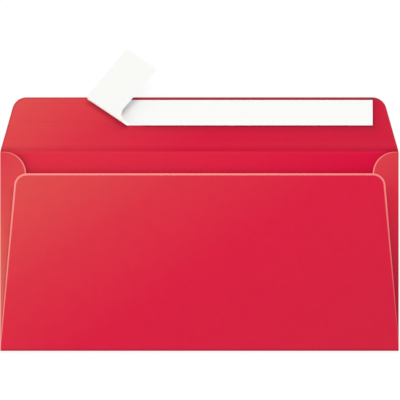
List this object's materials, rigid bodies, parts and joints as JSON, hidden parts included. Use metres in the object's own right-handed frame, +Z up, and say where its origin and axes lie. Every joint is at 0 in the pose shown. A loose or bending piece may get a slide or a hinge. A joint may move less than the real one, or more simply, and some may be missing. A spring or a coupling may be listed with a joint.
{
  "type": "envelope",
  "caption": "Flat wallet envelope with an open trapezoid seal flap, gummed side seams and a peel-off release liner over its self-seal adhesive strip.",
  "frame": {"origin": "centre of the pocket's address face, on the surface that the envelope lies on", "axes": "+X along the crease, +Y from the pocket towards the open flap, +Z up out of the back panel"},
  "size_m": [0.22, 0.1664, 0.0079],
  "materials": {
    "coloured_paper": "smooth uncoated paper, dyed red through, matte",
    "seam_gum": "dried gum line between the papers, hidden",
    "adhesive": "clear tacky pressure-sensitive film, slightly glossy",
    "liner_paper": "white silicone-coated release paper, soft sheen"
  },
  "bodies": {
    "pocket": {"front_panel": "coloured_paper", "left_side_fold": "coloured_paper", "right_side_fold": "coloured_paper", "left_side_flap": "coloured_paper", "right_side_flap": "coloured_paper", "left_seam_gum": "seam_gum", "right_seam_gum": "seam_gum", "bottom_fold": "coloured_paper", "back_panel": "coloured_paper", "flap_crease": "coloured_paper"},
    "flap": {"seal_flap": "coloured_paper", "adhesive_strip": "adhesive"},
    "liner": {"release_liner": "liner_paper"},
    "tab": {"liner_tab": "liner_paper"}
  },
  "joints": [
    {"name": "flap_fold", "type": "hinge", "parent": "pocket", "child": "flap", "pos_m": [0, 0.055, 0.00096], "axis": [1, 0, 0], "range_deg": [0, 180], "deforming": ["flap_crease", "liner_tab"]},
    {"name": "liner_slide", "type": "slide", "parent": "flap", "child": "liner", "axis": [1, 0, 0], "range_m": [0, 0.175]},
    {"name": "tab_lift", "type": "hinge", "parent": "liner", "child": "tab", "pos_m": [-0.03927, 0.07075, 0.00172], "axis": [0.832, -0.5548, 0], "range_deg": [-5, 70], "stiffness_Nm_per_rad": 0.0004, "deforming": ["liner_tab"]}
  ]
}
